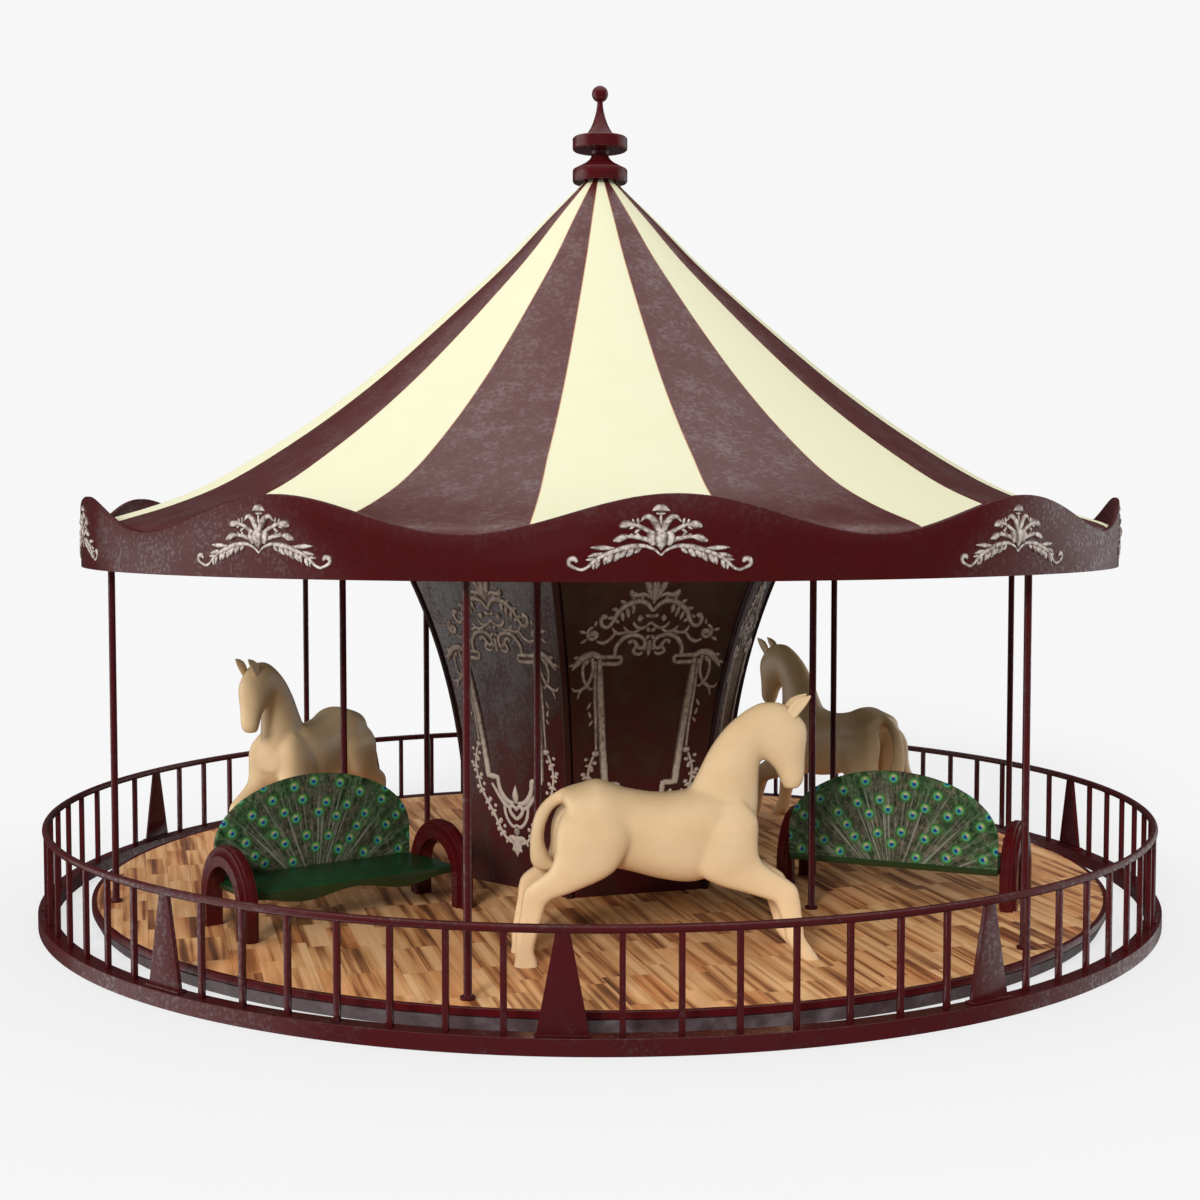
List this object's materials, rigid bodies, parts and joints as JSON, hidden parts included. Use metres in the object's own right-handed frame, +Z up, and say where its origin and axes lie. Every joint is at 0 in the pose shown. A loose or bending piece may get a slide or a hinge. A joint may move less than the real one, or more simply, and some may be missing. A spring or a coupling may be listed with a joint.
{
  "type": "fairground carousel",
  "caption": "Round fairground carousel with a striped conical roof, galloping horses and feather-backed benches on a turning deck, ringed by a low railing.",
  "frame": {"origin": "centre of the plinth's underside, on the ground under the turntable axis", "axes": "+Z up along the turntable axis; the picture's viewer stands on the -Y side"},
  "size_m": [7.014, 7.014, 5.1868],
  "materials": {
    "maroon_paint": "satin maroon paint, worn to grey in places",
    "dark_panel_paint": "glossy dark red-brown paint over raised scrollwork",
    "plinth_paint": "dull dark grey-green paint, streaked",
    "bearing_steel": "machined steel",
    "floor_boards": "oiled short floor boards",
    "canopy_cream_paint": "satin cream and maroon stripes",
    "horse_cream_paint": "smooth cream paint on a moulded body",
    "seat_green_paint": "glossy dark green paint",
    "back_feather_green": "painted feather fan"
  },
  "bodies": {
    "fixed_base": {"plinth": "plinth_paint", "turntable_bearing": "bearing_steel", "curb": "maroon_paint", "fence_bay_01": "maroon_paint", "fence_bay_02": "maroon_paint", "fence_bay_03": "maroon_paint", "fence_bay_04": "maroon_paint", "fence_bay_05": "maroon_paint", "fence_bay_06": "maroon_paint", "fence_bay_07": "maroon_paint", "fence_bay_08": "maroon_paint", "fence_bay_09": "maroon_paint", "fence_bay_10": "maroon_paint"},
    "turntable": {"deck": "floor_boards", "deck_rim": "maroon_paint", "core_frame": "maroon_paint", "core_panel_1": "dark_panel_paint", "core_panel_2": "dark_panel_paint", "core_panel_3": "dark_panel_paint", "core_panel_4": "dark_panel_paint", "core_panel_5": "dark_panel_paint", "core_panel_6": "dark_panel_paint", "core_cap": "maroon_paint", "outer_pole_1": "maroon_paint", "outer_pole_2": "maroon_paint", "outer_pole_3": "maroon_paint", "outer_pole_4": "maroon_paint", "outer_pole_5": "maroon_paint", "outer_pole_6": "maroon_paint", "inner_pole_1": "maroon_paint", "inner_pole_2": "maroon_paint", "inner_pole_3": "maroon_paint", "inner_pole_4": "maroon_paint", "inner_pole_5": "maroon_paint", "inner_pole_6": "maroon_paint", "rounding_board": "maroon_paint", "canopy": "canopy_cream_paint", "finial": "maroon_paint", "horse_1": "horse_cream_paint", "horse_2": "horse_cream_paint", "horse_3": "horse_cream_paint", "bench_seat_1": "seat_green_paint", "bench_seat_2": "seat_green_paint", "bench_seat_3": "seat_green_paint", "bench_back_1": "back_feather_green", "bench_back_2": "back_feather_green", "bench_back_3": "back_feather_green", "bench_inner_arch_1": "maroon_paint", "bench_inner_arch_2": "maroon_paint", "bench_inner_arch_3": "maroon_paint", "bench_outer_arch_1": "maroon_paint", "bench_outer_arch_2": "maroon_paint", "bench_outer_arch_3": "maroon_paint"}
  },
  "joints": [
    {"name": "carousel_spin", "type": "hinge", "parent": "fixed_base", "child": "turntable", "pos_m": [0, 0, 0], "axis": [0, 0, 1], "continuous": true}
  ]
}
